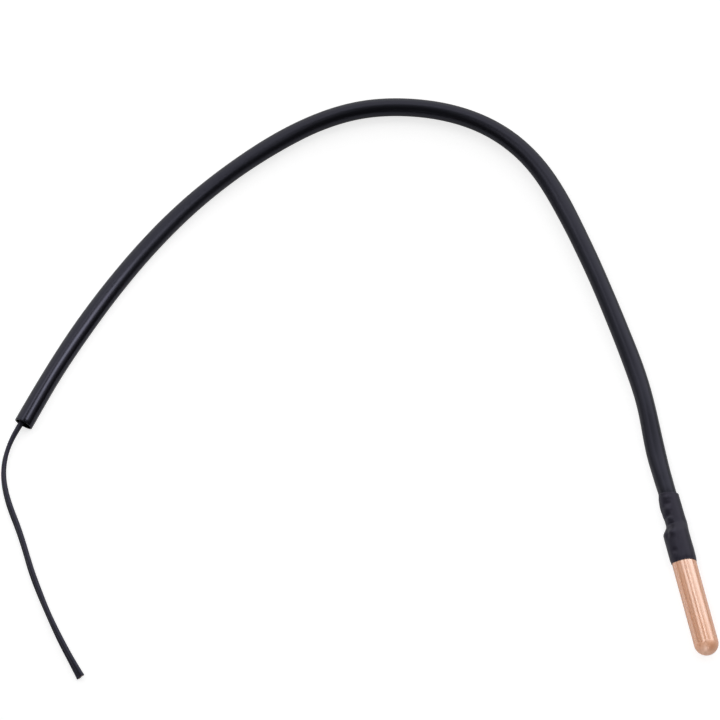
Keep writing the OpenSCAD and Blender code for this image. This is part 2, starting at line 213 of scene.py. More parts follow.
def lead_in_sleeve():
    """Stations along the sleeve: the pair rests on the bore's floor and turns from flat to upright.

    The lower core's middle stands LEAD_SEAT_R from the sleeve's centre, at an angle from straight
    down that runs from the flat pair's to LEAD_SEAT_END. The pair's middle is half a pitch further.
    At first the pair lies halfway between the tube's axis and the sleeve's, and settles from there.
    """
    side, up = frames_along(sleeve_path)
    turn = ease((sleeve_s / SLEEVE_L - LEAD_TURN_FROM) / (1 - LEAD_TURN_FROM))
    flat_seat = -np.arcsin(CORE_PITCH / 2 / LEAD_SEAT_R)
    seat = flat_seat + turn * (LEAD_SEAT_END - flat_seat)
    roll = np.pi / 2 * (1 - turn)
    across = LEAD_SEAT_R * np.sin(seat) + CORE_PITCH / 2 * np.sin(roll)
    height = -LEAD_SEAT_R * np.cos(seat) + CORE_PITCH / 2 * np.cos(roll)
    settled = ease(sleeve_s / LEAD_SETTLES_IN)
    across = settled * across - (1 - settled) * SLEEVE_ROUTE[0, 0] / 2
    height = settled * height + (1 - settled) * (SHELL_R - SLEEVE_R) / 2
    place = sleeve_path + side * across[:, None] + up * height[:, None]
    return np.column_stack([place, np.degrees(roll), 0 * roll + CORE_PITCH])


# %% [markdown]
# Outside the sleeve the lead lies free on the table, so its points are listed again, and it
# leans over as it goes. The three stretches are joined and then evened out as one, so that place,
# roll and distance all change softly from each to the next.

# %% Twin lead outside, and the whole of it
# The lead bends more sharply than the sleeve, so its mean is narrower.
LEAD_EVEN = 3 * MM

# Each point: x, y from the tube's mouth, roll in degrees, lift. Lengths are in millimetres.
LEAD_ROUTE = np.array([
    [-161.9, 62.8, -10, 0.4], [-164.3, 59.1, -14, 0.1], [-166.1, 54.5, -15, 0],
    [-166.6, 49.5, -17, 0], [-166.1, 43.5, -25, 0], [-165, 38.25, -25, 0], [-164, 31, -20, 0],
    [-163.5, 26, -25, 0], [-162.5, 20.5, -25, 0], [-161.5, 15.75, -15, 0], [-160.5, 11.5, -15, 0],
    [-159, 6, -30, 0], [-157.75, 2, -25, 0], [-155.75, -4, -55, 0.06],
])


def lead_outside():
    """Stations past the sleeve, on the table: the lower core's underside is at the point's lift."""
    x, y, roll, lift = LEAD_ROUTE.T
    z = CORE_R + CORE_PITCH / 2 * np.cos(np.radians(roll)) + lift * MM
    return np.column_stack([x * MM, y * MM + MOUTH_Y, z, roll, 0 * x + CORE_PITCH])


stations = np.concatenate([lead_in_shell(), lead_in_sleeve(), lead_outside()])
lead = smooth_route(stations, ROUTE_STEP / 2, LEAD_EVEN)
# The lower core never dips into the table.
lowest = CORE_R + lead[:, 4] / 2 * np.cos(np.radians(lead[:, 3]))
lead[:, 2] = np.maximum(lead[:, 2], lowest)
lead_s = lengths_along(lead)
jacket_s = lead_s - (JACKET_FROM - CONDUCTOR_FROM)
LEAD_L = jacket_s[-1]
print(f"lead {LEAD_L / MM:.1f} mm long")

# %% [markdown]
# Every new piece is a grid of points joined by four-sided faces. The rows run along the piece and
# the columns round it, counter-clockwise when seen from where the rows go, so the faces point out.

# %% Grids of faces
def grid_quads(rows, columns, closed_rows=False):
    """Corner numbers of each face between neighbouring rows and columns. Columns close round."""
    row = np.arange(rows if closed_rows else rows - 1)[:, None]
    column = np.arange(columns)[None, :]
    next_row, next_column = (row + 1) % rows, (column + 1) % columns
    corners = [
        row * columns + column, next_row * columns + column,
        next_row * columns + next_column, row * columns + next_column,
    ]
    return np.stack(np.broadcast_arrays(*corners), axis=-1).reshape(-1, 4)


def circle(columns):
    """Equal angles once round, from the right-hand side up over the top."""
    return np.linspace(0, 2 * np.pi, columns, endpoint=False)


# %% [markdown]
# A mesh takes its points and faces from whole arrays at once. Where a grid closes on itself or ends
# in a pole, points fall on each other and are merged.
# A cord also keeps the place that each point had on the straight cord, before it was laid in its
# curve. Its finish reads that, so the marks of the extruder follow every bend.

# %% Pieces from grids
MERGE_WITHIN = 0.0001 * MM
CREASE_ANGLE = np.radians(50)


def add_piece(name, points, quads, straight=None):
    """A mesh object at the origin: points and faces from arrays, doubles merged, shaded smooth.

    straight holds the points' places in millimetres on the straight cord, kept as an attribute.
    """
    mesh = bpy.data.meshes.new(name)
    mesh.vertices.add(len(points))
    mesh.vertices.foreach_set("co", np.ravel(points))
    mesh.loops.add(quads.size)
    mesh.loops.foreach_set("vertex_index", np.ravel(quads))
    mesh.polygons.add(len(quads))
    mesh.polygons.foreach_set("loop_start", np.arange(0, quads.size, 4))
    mesh.update(calc_edges=True)
    if straight is not None:
        kept = mesh.attributes.new("straight", "FLOAT_VECTOR", "POINT")
        kept.data.foreach_set("vector", np.ravel(straight))
    merged = bmesh.new()
    merged.from_mesh(mesh)
    bmesh.ops.remove_doubles(merged, verts=merged.verts, dist=MERGE_WITHIN)
    merged.to_mesh(mesh)
    merged.free()
    mesh.shade_smooth()
    mesh.set_sharp_from_angle(angle=CREASE_ANGLE)
    piece = bpy.data.objects.new(name, mesh)
    bpy.context.collection.objects.link(piece)
    print(f"{name}: {len(mesh.vertices)} points, {len(mesh.polygons)} faces")
    return piece


# %% [markdown]
# The outer sleeve is soft extruded tube. It isn't perfectly round, because it was flattened a little
# on its reel, in some places on its side and in others on edge. A short table of places and widths
# gives that, and easing from each place to the next leaves no joint to see.

# %% Oval of the sleeve
# Width of the oval tube over that of the round one, at distances from the boot's end of the sleeve.
OVAL_AT = np.array([
    0, 7, 11, 14, 22, 35, 47, 58, 70, 84, 98, 115, 134, 176, 187, 204, 235, 262, 280, 295,
]) * MM
OVAL = np.array([
    1, 1, 0.94, 0.97, 1.035, 0.97, 1.02, 1, 0.99, 1.02, 1.075, 1.04, 1.01, 1.01, 1.045, 0.995, 1.03,
    1.055, 1, 1.02,
])


def oval_at(s):
    """Width of the oval tube over that of the round one: eased from each of the places to the next."""
    place = np.interp(s, OVAL_AT, np.arange(len(OVAL_AT)))
    before = np.minimum(place.astype(int), len(OVAL) - 2)
    return OVAL[before] + ease(place - before) * (OVAL[before + 1] - OVAL[before])


print(f"sleeve's width from {OVAL.min()} to {OVAL.max()} of the round tube's")

# %% [markdown]
# The sleeve was cut off with a blade, slightly aslant, and the cut end is an open wall with softly
# rounded lips. Its section is one closed profile of places along the tube and distances from its
# middle: out along the outside, over the lip, back along the bore. Carried round the path, that is
# a tube with a true wall.

# %% Outer sleeve
SLEEVE_WALL = 0.4 * MM
SLEEVE_COLUMNS = 64
SLEEVE_SLANT = np.tan(np.radians(4.5))
SLANT_FADES_IN = 6 * MM
LIP_ROWS = 7
SQUEEZE = 0.09
SQUEEZED_TO = 1.6 * MM


def lip(middle_s, middle_r, radius, rows):
    """Half a turn from the outside over the end to the bore: a half circle in length and distance."""
    turn = np.linspace(np.pi / 2, -np.pi / 2, rows)
    return middle_s + radius * np.cos(turn), middle_r + radius * np.sin(turn)


def follow(path, s):
    """The path's point, side and up vectors at lengths s, interpolated between its points."""
    walked = lengths_along(path)
    return [
        np.stack([np.interp(s, walked, column) for column in vectors.T], axis=-1)
        for vectors in (path, *frames_along(path))
    ]


def sleeve_surface():
    """Points of the tube and their places on the straight tube, both as rows by columns.

    A point is the path's point at its place along the tube, plus its distance from the middle times
    the cosine of its angle to the side and times the sine upward. The oval widens the first and
    lowers the second by the same factor, and the path comes down with it to stay on the table. The
    hot boot squeezed the tube's end, so there the distance is a little less. Towards the cut end the
    place moves back by the point's height times the slant.
    """
    half = SLEEVE_WALL / 2
    along = np.arange(0, SLEEVE_L - half, ROUTE_STEP)
    lip_s, lip_r = lip(SLEEVE_L - half, SLEEVE_R - half, half, LIP_ROWS)
    s = np.concatenate([along, lip_s, along[::-1]])
    r = np.concatenate([0 * along + SLEEVE_R, lip_r, 0 * along + SLEEVE_R - SLEEVE_WALL])
    angle = circle(SLEEVE_COLUMNS)
    cut = ease((s - SLEEVE_L + SLANT_FADES_IN) / SLANT_FADES_IN) * SLEEVE_SLANT * r
    s_grid = s[:, None] - cut[:, None] * np.sin(angle)
    centre, side, up = follow(sleeve_path, s_grid)
    oval = oval_at(s_grid)
    r = r[:, None] * (1 - SQUEEZE * (1 - ease(s_grid / SQUEEZED_TO)))
    wide, high = r * oval * np.cos(angle), r / oval * np.sin(angle)
    centre[..., 2] += SLEEVE_R / oval - SLEEVE_R
    points = centre + wide[..., None] * side + high[..., None] * up
    straight = np.stack([s_grid, wide, high], axis=-1) / MM
    return points, straight


points, straight = sleeve_surface()
sleeve = add_piece(
    "sleeve_tube", points.reshape(-1, 3),
    grid_quads(len(points), SLEEVE_COLUMNS, closed_rows=True), straight.reshape(-1, 3),
)
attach(sleeve, "root")
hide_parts("outer_sleeve")

# %% [markdown]
# Whatever belongs to the lead is drawn in its section first: so far from core to core, and so far
# across. Two unit vectors at each station then carry the section along the route with its roll.

# %% Places in the lead's section
def pair_axes(route):
    """Two unit vectors at each station: the first from core to core, the second across the pair.

    The first leans from straight up towards the side by the roll: sine of the side, cosine of up.
    """
    side, up = frames_along(route[:, :3])
    roll = np.radians(route[:, 3:4])
    return np.sin(roll) * side + np.cos(roll) * up, np.sin(roll) * up - np.cos(roll) * side


lead_first, lead_second = pair_axes(lead)


def in_lead(station, first_place, second_place):
    """Points at places in the lead's section, for the numbers of stations along it."""
    return (
        lead[station, None, :3]
        + first_place[..., None] * lead_first[station, None]
        + second_place[..., None] * lead_second[station, None]
    )


# %% [markdown]
# The lead's jacket has the outline of two touching circles, and each core has its own bore. Each
# core is one grid whose profile runs along the outside and back along the bore. Its columns go
# round the core's arc and close across the web between the cores. Along the outside the web is
# inside the lead, so those faces are left out, and only the cut ends keep them.
# The blade that cut the lead spread its end a little, which the flare at the last millimetre copies.

# %% Jacket of the twin lead
ARC_COLUMNS = 24
WEB_COLUMNS = 6
CORE_BORE_R = 0.26 * MM
FLARE = 0.04
FLARE_IN = 1.2 * MM


def core_profile():
    """Outline of one core: angles round its middle and distances from it.

    The arc spans all but the valley where the cores meet. The web's points lie on the straight line
    between the arc's ends, which is at the same distance from both cores.
    """
    valley = np.arccos(-CORE_PITCH / 2 / CORE_R)
    arc = np.linspace(-valley, valley, ARC_COLUMNS)
    end_height = CORE_R * np.sin(valley)
    web_height = np.linspace(end_height, -end_height, WEB_COLUMNS + 2)[1:-1]
    angle = np.concatenate([arc, np.arctan2(web_height, -CORE_PITCH / 2)])
    return angle, np.concatenate([0 * arc + CORE_R, np.hypot(web_height, CORE_PITCH / 2)])


def jacket_core(turned):
    """One core's jacket: its rows go out along the outline and back along the bore.

    The flare scales the outline up from the pair's middle, towards the cut end. turned is 1 for one
    core and -1 for the other, which is the same core turned half round.
    """
    angle, outline = core_profile()
    out = np.flatnonzero(jacket_s >= 0)
    station = np.concatenate([out, out[::-1]])
    flare = 1 + FLARE * ease((jacket_s[out] - LEAD_L + FLARE_IN) / FLARE_IN)
    flare = np.concatenate([flare, 0 * flare + 1])[:, None]
    r = np.concatenate([np.tile(outline, (len(out), 1)), np.full((len(out), len(angle)), CORE_BORE_R)])
    first = turned * flare * (CORE_PITCH / 2 + r * np.cos(angle))
    second = turned * flare * r * np.sin(angle)
    along = jacket_s[station, None] + 0 * first
    quads = grid_quads(len(station), len(angle), closed_rows=True)
    row, column = quads[:, 0] // len(angle), quads[:, 0] % len(angle)
    web = (row < len(out) - 1) & (column >= ARC_COLUMNS - 1)
    points = in_lead(station, first, second)
    straight = np.stack([along, first, second], axis=-1) / MM
    return points.reshape(-1, 3), straight.reshape(-1, 3), quads[~web]


cores = [jacket_core(turned) for turned in (1, -1)]
jacket = add_piece(
    "lead_insulation",
    np.concatenate([points for points, _, _ in cores]),
    np.concatenate([quads + number * len(cores[0][0]) for number, (_, _, quads) in enumerate(cores)]),
    np.concatenate([straight for _, straight, _ in cores]),
)
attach(jacket, "root")
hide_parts("lead_jacket")

# %% [markdown]
# Each conductor is a bundle of seven fine strands, six round one, twisted as they were stranded.
# Only the six outer ones show, so the bundle is one bar whose outline is a ring of six arcs, turned
# a little further at each step along the lead. Each end closes on a last ring of no size.

# %% Stranded conductors
CONDUCTOR_R = 0.25 * MM
STRANDS = 6
STRAND_COLUMNS = 8
STRAND_LAY = 8 * MM


def strand_outline(angle):
    """Far side of a ring of six touching circles, as a distance at each angle.

    It is the centre's distance times the cosine of the angle from the nearest centre, plus the root
    of the circle's radius squared less the centre's distance times the sine squared.
    """
    strand_r = CONDUCTOR_R / 3
    ring_r = 2 * strand_r
    near = (angle + np.pi / STRANDS) % (2 * np.pi / STRANDS) - np.pi / STRANDS
    inside = np.maximum(strand_r**2 - (ring_r * np.sin(near)) ** 2, 0)
    return ring_r * np.cos(near) + np.sqrt(inside)


def add_conductor(name, node, turned):
    """A twisted bundle along one core of the lead, in the place of its CAD node."""
    station = np.arange(len(lead))
    station = np.concatenate([station[:1], station, station[-1:]])
    angle = circle(STRANDS * STRAND_COLUMNS)
    r = np.tile(strand_outline(angle), (len(station), 1))
    r[[0, -1]] = 0
    twisted = angle + 2 * np.pi * lead_s[station, None] / STRAND_LAY
    first = turned * (lead[station, 4:5] / 2 + r * np.cos(twisted))
    points = in_lead(station, first, turned * r * np.sin(twisted))
    piece = add_piece(name, points.reshape(-1, 3), grid_quads(len(station), len(angle)))
    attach(piece, "root")
    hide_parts(node)
    return piece


strands = [
    add_conductor("strands_a", "conductor_a", 1),
    add_conductor("strands_b", "conductor_b", -1),
]

# %% [markdown]
# The tube is drawn copper with its end spun shut to a dome, and a groove is rolled into it to grip
# the resin. Each is a short curve of places along the tube and distances from its axis: a quarter
# circle for the dome, and for the groove the dip that the round edge of a roller leaves.

# %% Dome and groove of the tube
DOME_ROWS = 40
GROOVE_FROM_TIP = 25.96 * MM
GROOVE_R = 0.5 * MM
GROOVE_DEPTH = 0.3 * MM
GROOVE_ROWS = 25


def dome(radius, tip):
    """Quarter circle from the pole to the straight side: one less the cosine along, sine across."""
    turn = np.linspace(0, np.pi / 2, DOME_ROWS)
    return tip + radius * (1 - np.cos(turn)), radius * np.sin(turn)


def groove(radius, roller_r):
    """Dip that a roller leaves in a wall: the stretch of the roller's circle that cuts into it.

    The circle's middle stands outside the tube by the groove's radius less its depth.
    """
    middle_r = SHELL_R + GROOVE_R - GROOVE_DEPTH
    reach = np.sqrt(roller_r**2 - (middle_r - radius) ** 2)
    along = np.linspace(-reach, reach, GROOVE_ROWS)
    return GROOVE_FROM_TIP + along, middle_r - np.sqrt(roller_r**2 - along**2)


# %% [markdown]
# The CAD node has that shape too, but its flat facets are large enough to show in polished metal.
# So the tube is redone as a surface of revolution with many small ones: one profile runs from the
# dome's pole along the outside, over the mouth, and back along the bore to the inner pole.

# %% Copper tube
SHELL_WALL = 0.5 * MM
SHELL_COLUMNS = 128
MOUTH_EDGE = 0.1 * MM


def shell_profile():
    """Distances from the tip and from the axis, from the dome's pole out, round and back in."""
    bore_r = SHELL_R - SHELL_WALL
    length = MOUTH_Y - TIP_Y
    outside = [dome(SHELL_R, 0), groove(SHELL_R, GROOVE_R)]
    edge = lip(length - MOUTH_EDGE, SHELL_R - MOUTH_EDGE, MOUTH_EDGE, 2 * LIP_ROWS - 1)
    rounded = [values[:LIP_ROWS] for values in edge]
    square = [np.array([length]), np.array([bore_r])]
    inside = [groove(bore_r, GROOVE_R + SHELL_WALL), dome(bore_r, SHELL_WALL)]
    inside = [[values[::-1] for values in part] for part in inside]
    parts = outside + [rounded, square] + inside
    return [np.concatenate([part[axis] for part in parts]) for axis in (0, 1)]


def revolved(along, r, columns):
    """A profile turned round the tube's axis: cosine to the right, sine up, the rest along it."""
    angle = circle(columns)
    x = r[:, None] * np.cos(angle)
    y = TIP_Y + along[:, None] + 0 * x
    return np.stack([x, y, AXIS_Z + r[:, None] * np.sin(angle)], axis=-1)


along, r = shell_profile()
tube = add_piece(
    "copper_tube", revolved(along, r, SHELL_COLUMNS).reshape(-1, 3),
    grid_quads(len(along), SHELL_COLUMNS),
)
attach(tube, "root")
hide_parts("probe_shell")

# %% [markdown]
# The boot is heat-shrink tube that was drawn over the joint and heated. Where it isn't quite tight
# it puckers. Each pucker is a soft bump or dent with a place, a height and a spread of its own,
# chosen from the outline and the dark folds. A fold looks dark on the slope that faces away
# from the light, so a dark patch is a slope, and its crest is beside it.

# %% Puckers of the boot
# Each pucker: distance from the tube's mouth, angle round from +X over the top, height, half length,
# half spread in degrees. Lengths are in millimetres.
PUCKERS = [
    # The bulge on the left side, and above it the thin edge that lies tight on the sleeve.
    [7.1, 185, 0.25, 3.0, 55], [4.9, 180, 0.1, 1.1, 45], [11.3, 180, -0.38, 2.0, 60],
    # Crests and dents across the upper left.
    [9.3, 112, 0.12, 0.8, 34], [7.7, 119, -0.2, 0.9, 27], [6.3, 131, 0.2, 1.0, 38],
    [4.7, 135, -0.24, 0.8, 26], [3.7, 131, 0.14, 0.7, 32], [2.4, 127, -0.18, 0.6, 24],
    # The fold along the tube below its mouth, and a dent near the lower edge.
    [0.2, 116, 0.3, 2.2, 22], [-0.3, 145, -0.22, 2.2, 17], [-5.0, 129, -0.16, 1.1, 22],
    # The right side, where the skin spans the sleeve's end and the tube.
    [2.4, 0, 0.07, 1.6, 50], [-4.9, 0, 0.05, 2.0, 50],
]


def bump(offset):
    """A soft bump: the cosine squared of a quarter turn times the offset, which is 0 past 1."""
    return np.where(np.abs(offset) < 1, np.cos(np.pi / 2 * offset) ** 2, 0)


def puckers(y, angle):
    """Sum of the puckers: each one's height, times a bump along, times a bump round the boot."""
    total = 0 * y * angle
    for place, middle, height, half_length, half_spread in PUCKERS:
        turned = (np.degrees(angle) - middle + 180) % 360 - 180
        total += height * MM * bump((y / MM - place) / half_length) * bump(turned / half_spread)
    return total


print(f"boot: {len(PUCKERS)} puckers")

# %% [markdown]
# Hot, the boot shrinks onto what is under it: a full round over the copper tube, a smaller round
# over the sleeve, which was pushed to one side of the copper tube and leaves a step on the other. A
# skin that tight is found by asking, for each direction round the boot, which of the two rounds
# stands out further.

# %% Tight skin of the boot
BOOT_WALL = 0.25 * MM

# How far the sleeve's middle moves to the right for each unit of length, where the boot holds it.
lean_x, lean_y, _ = SLEEVE_ROUTE[1] - SLEEVE_ROUTE[0]
SLEEVE_LEAN = lean_x / lean_y

# Stretches in which the skin reaches out for the sleeve's side, and steps down to it.
REACH_FROM, REACH_TO = -0.2 * MM, 1.6 * MM
STEP_FROM, STEP_TO = -0.3 * MM, 2.55 * MM


def boot_skin(y, angle, grow):
    """Section of the skin at a distance y past the tube's mouth, grown by some thickness.

    For a direction, the tube's round and the sleeve's round each have one point that faces it. The
    tight skin takes the one further out. It eases from the tube to that choice at the mouth, and
    from there to the sleeve over the step.
    """
    facing = np.stack([np.cos(angle), np.sin(angle)], axis=-1)
    over_shell = np.stack([0 * y, 0 * y + AXIS_Z], axis=-1) + (SHELL_R + grow)[..., None] * facing
    middle = SLEEVE_ROUTE[0, 0] + SLEEVE_LEAN * np.maximum(y - SLEEVE_ROUTE[0, 1], 0)
    low = SLEEVE_R + BOOT_WALL
    over_sleeve = np.stack([middle, 0 * y + low], axis=-1) + (SLEEVE_R + grow)[..., None] * facing
    further = np.sum(facing * (over_shell - over_sleeve), axis=-1, keepdims=True) >= 0
    tight = np.where(further, over_shell, over_sleeve)
    reached = ease((y - REACH_FROM) / (REACH_TO - REACH_FROM))[..., None]
    stepped = ease((y - STEP_FROM) / (STEP_TO - STEP_FROM))[..., None]
    skin = over_shell + reached * (tight - over_shell)
    skin = skin + stepped * (over_sleeve - skin)
    return skin + puckers(y, angle)[..., None] * facing


# %% [markdown]
# The boot has a true wall, which the heat drew thin towards the lower edge, and both its edges were
# cut aslant. Its profile is closed, as the sleeve's is, but it keeps thicknesses in place of
# distances from the middle, since the skin under them isn't round.

# %% Boot
BOOT_ON_SHELL = 8.07 * MM
BOOT_ON_SLEEVE = 10.5 * MM
BOOT_EDGE_WALL = 0.14 * MM
BOOT_THIN_TO, BOOT_THICK_FROM = 0.1 * MM, 1.2 * MM
BOOT_PLAY = 0.02 * MM
BOOT_COLUMNS = 160
BOOT_ROW = 0.12 * MM

# Slopes of the lower and the upper edge. The lower one bows as well: the bow's height over the
# boot's radius, and the angle in radians by which its crest is turned from the top to the right.
SLANT_LOW, SLANT_HIGH = np.tan(np.radians([6.5, 11]))
BOW_LOW, BOW_TURN = 0.07, 0.26


def boot_wall(y):
    """Wall at a distance past the mouth: drawn thin at the lower edge, and full further up."""
    t = (y + BOOT_ON_SHELL - BOOT_THIN_TO) / (BOOT_THICK_FROM - BOOT_THIN_TO)
    return BOOT_EDGE_WALL + ease(t) * (BOOT_WALL - BOOT_EDGE_WALL)


def boot_surface():
    """Points of the boot, as rows by columns.

    The profile of places and thicknesses runs up the outside, over the upper lip, down the inside
    and over the lower lip. The slants shift each place by its distance to the right of the middle
    times their slope, and fade away from the edges. The lower edge also bows up a little near the
    top, by the fourth power of the sine of the angle.
    """
    outside = np.arange(-BOOT_ON_SHELL + BOOT_EDGE_WALL / 2, BOOT_ON_SLEEVE - BOOT_WALL / 2, BOOT_ROW)
    high = lip(BOOT_ON_SLEEVE - BOOT_WALL / 2, BOOT_WALL / 2, BOOT_WALL / 2 - BOOT_PLAY / 2, LIP_ROWS)
    low = lip(BOOT_ON_SHELL - BOOT_EDGE_WALL / 2, BOOT_EDGE_WALL / 2, BOOT_EDGE_WALL / 2, LIP_ROWS)
    place = np.concatenate([outside, high[0], outside[::-1], -low[0][::-1]])
    grow = np.concatenate([boot_wall(outside), high[1], 0 * outside + BOOT_PLAY, low[1][::-1]])
    angle = circle(BOOT_COLUMNS) + 0 * place[:, None]
    place, grow = place[:, None] + 0 * angle, grow[:, None] + 0 * angle
    slant = np.where(place < 0, SLANT_LOW, SLANT_HIGH)
    edge = np.where(place < 0, -place / BOOT_ON_SHELL, place / BOOT_ON_SLEEVE)
    round_r = np.where(place < 0, SHELL_R, SLEEVE_R) + grow
    bow = np.where(place < 0, BOW_LOW, 0) * np.maximum(np.sin(angle + BOW_TURN), 0) ** 4
    y = place - round_r * (np.cos(angle) * slant - bow) * ease(2 * edge - 1)
    skin = boot_skin(y, angle, grow)
    return np.stack([skin[..., 0], MOUTH_Y + y, skin[..., 1]], axis=-1)


points = boot_surface()
boot = add_piece(
    "heat_shrink_boot", points.reshape(-1, 3),
    grid_quads(len(points), BOOT_COLUMNS, closed_rows=True),
)
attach(boot, "root")
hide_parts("boot")

# %% [markdown]
# Finishes come next. Each is a material named for what it is made of, with a colour written as it
# would be picked on a screen. Screen colours are sRGB, and the shaders add up light, so one function
# turns a hex colour to linear light. Another one adds a node with its settings and links.

# %% Colours and nodes
def linear(hex_colour):
    """Linear red, green, blue and 1 of an sRGB hex colour: the sRGB curve undone."""
    srgb = np.array([int(hex_colour[at:at + 2], 16) for at in (1, 3, 5)]) / 255
    light = np.where(srgb <= 0.04045, srgb / 12.92, ((srgb + 0.055) / 1.055) ** 2.4)
    return (*light.tolist(), 1.0)


def add_node(tree, kind, inputs=None, **settings):
    """Add a node of a kind. Settings are its own, and an input takes a value or another's output."""
    made = tree.nodes.new("ShaderNode" + kind)
    for name, value in settings.items():
        setattr(made, name, value)
    for name, value in (inputs or {}).items():
        if isinstance(value, bpy.types.NodeSocket):
            tree.links.new(value, made.inputs[name])
        else:
            made.inputs[name].default_value = value
    return made


def start_material(name):
    """A new material and its node tree, emptied of the nodes that Blender starts it with."""
    material = bpy.data.materials.new(name)
    material.use_nodes = True
    material.node_tree.nodes.clear()
    return material, material.node_tree


def wear(piece, material):
    """Put a material on a piece or a CAD node, in the place of what it had."""
    piece.data.materials.clear()
    piece.data.materials.append(material)
    print(f"{piece.name}: {material.name}")


# The Mix node's sockets for colours go by number, because they share names with its other kinds.
MIX_FACTOR, MIX_A, MIX_B, MIX_RESULT = 0, 6, 7, 2

# %% [markdown]
# Drawn copper is bright but not a mirror. The die leaves fine lines along the tube, and handling
# leaves a thin tarnish in patches. The lines are noise that is stretched along the tube, and they
# move the colour a little, the roughness and the relief.
# A metal shader alone shows black where the tube mirrors a dark part of the room. Real copper stays
# orange there, because air has put a thin film of red oxide on it that scatters light. So the finish
# is two shaders in one, about half each: bright metal, and a dull orange film.

# %% Drawn copper
# The die's lines are too fine to show, so they are drawn as wide as it takes to see them. The
# patches of tarnish are longer than wide, as the hand wipes along a tube.
LINE_WIDE, LINE_LONG = 1.205 * MM, 62.5 * MM
PATCH_WIDE, PATCH_LONG = 4 * MM, 12.5 * MM
FILM_SHARE = 0.52

# The end was closed by spinning, and grows duller between these distances from the tip.
SPUN_FROM, SPUN_TO = 3.4 * MM, 2.4 * MM


def drawn_copper():
    """Copper tube: metal of a warm pink, satin, with fine lines along it and faint tarnish."""
    material, tree = start_material("drawn copper")
    place = add_node(tree, "TexCoord").outputs["Object"]
    lines = add_node(tree, "Mapping", {
        "Vector": place, "Scale": (1 / LINE_WIDE, 1 / LINE_LONG, 1 / LINE_WIDE),
    })
    line = add_node(tree, "TexNoise", {"Vector": lines.outputs[0], "Scale": 1, "Detail": 3})
    patches = add_node(tree, "Mapping", {
        "Vector": place, "Scale": (1 / PATCH_WIDE, 1 / PATCH_LONG, 1 / PATCH_WIDE),
    })
    patch = add_node(tree, "TexNoise", {"Vector": patches.outputs[0], "Scale": 1, "Detail": 3})
    tarnish = add_node(tree, "MapRange", {
        "Value": patch.outputs["Fac"], "From Min": 0.4, "From Max": 0.7,
    })
    colour = add_node(tree, "Mix", {
        MIX_FACTOR: tarnish.outputs[0], MIX_A: linear("#FFFAF4"), MIX_B: linear("#FFE6D6"),
    }, data_type="RGBA")
    lined = add_node(tree, "Mix", {
        MIX_FACTOR: line.outputs["Fac"], MIX_A: colour.outputs[MIX_RESULT],
        MIX_B: linear("#FFF0E8"),
    }, data_type="RGBA")
    split = add_node(tree, "SeparateXYZ", {"Vector": place})
    spun = add_node(tree, "MapRange", {
        "Value": split.outputs["Y"], "From Min": TIP_Y + SPUN_FROM, "From Max": TIP_Y + SPUN_TO,
        "To Min": 0.23, "To Max": 0.55,
    })
    rough = add_node(tree, "Math", {
        0: line.outputs["Fac"], 1: 0.08, 2: spun.outputs[0],
    }, operation="MULTIPLY_ADD")
    relief = add_node(tree, "Bump", {
        "Height": line.outputs["Fac"], "Strength": 0.1, "Distance": 0.02 * MM,
    })
    metal = add_node(tree, "BsdfPrincipled", {
        "Base Color": lined.outputs[MIX_RESULT], "Metallic": 1, "Roughness": rough.outputs[0],
        "Normal": relief.outputs[0],
    })
    film = add_node(tree, "BsdfPrincipled", {
        "Base Color": linear("#FF963A"), "Roughness": 0.5, "IOR": 1.6, "Normal": relief.outputs[0],
    })
    both = add_node(tree, "MixShader", {
        "Fac": FILM_SHARE, 1: metal.outputs[0], 2: film.outputs[0],
    })
    add_node(tree, "OutputMaterial", {"Surface": both.outputs[0]})
    return material


wear(tube, drawn_copper())

# %% [markdown]
# The three black plastics differ in how they were made. The sleeve is soft extruded PVC, fairly
# glossy, with faint lines along it, and its free end, which nobody handled, is the glossiest. The
# lead's insulation is the same family, drawn thinner, greyer and duller. Black plastic has next to
# no colour of its own, so what is seen on it is the lamps, and its roughness says how wide they
# smear.

# %% Soft PVC of the sleeve and the lead
# Sizes here are plain millimetres, as in the attribute that holds the places on the straight cord.
# The marks are too fine to show, so they are drawn wider. The cord turns from dull to shiny between
# two places along it.
MARK_WIDE, MARK_LONG = 0.8, 10
SHINY_FROM, SHINY_TO = 234, 266


def soft_pvc(name, colour, dull, shiny, bump_distance):
    """Extruded PVC: dark, with faint marks of the die that run along the cord.

    Its roughness goes from dull to shiny along the cord, each mark a little off that.
    """
    material, tree = start_material(name)
    place = add_node(tree, "Attribute", attribute_name="straight").outputs["Vector"]
    marks = add_node(tree, "Mapping", {
        "Vector": place, "Scale": (1 / MARK_LONG, 1 / MARK_WIDE, 1 / MARK_WIDE),
    })
    mark = add_node(tree, "TexNoise", {"Vector": marks.outputs[0], "Scale": 1, "Detail": 3})
    split = add_node(tree, "SeparateXYZ", {"Vector": place})
    rough = add_node(tree, "MapRange", {
        "Value": split.outputs["X"], "From Min": SHINY_FROM, "From Max": SHINY_TO,
        "To Min": dull, "To Max": shiny,
    })
    uneven = add_node(tree, "Math", {
        0: mark.outputs["Fac"], 1: 0.06, 2: rough.outputs[0],
    }, operation="MULTIPLY_ADD")
    relief = add_node(tree, "Bump", {
        "Height": mark.outputs["Fac"], "Strength": 0.15, "Distance": bump_distance,
    })
    plastic = add_node(tree, "BsdfPrincipled", {
        "Base Color": linear(colour), "Roughness": uneven.outputs[0], "IOR": 1.5,
        "Specular Tint": linear("#E1E1FF"), "Normal": relief.outputs[0],
    })
    add_node(tree, "OutputMaterial", {"Surface": plastic.outputs[0]})
    return material


wear(sleeve, soft_pvc("black soft PVC", "#0A0A0D", 0.31, 0.17, 0.05 * MM))
wear(jacket, soft_pvc("grey-black PVC insulation", "#1D1A24", 0.42, 0.42, 0.02 * MM))

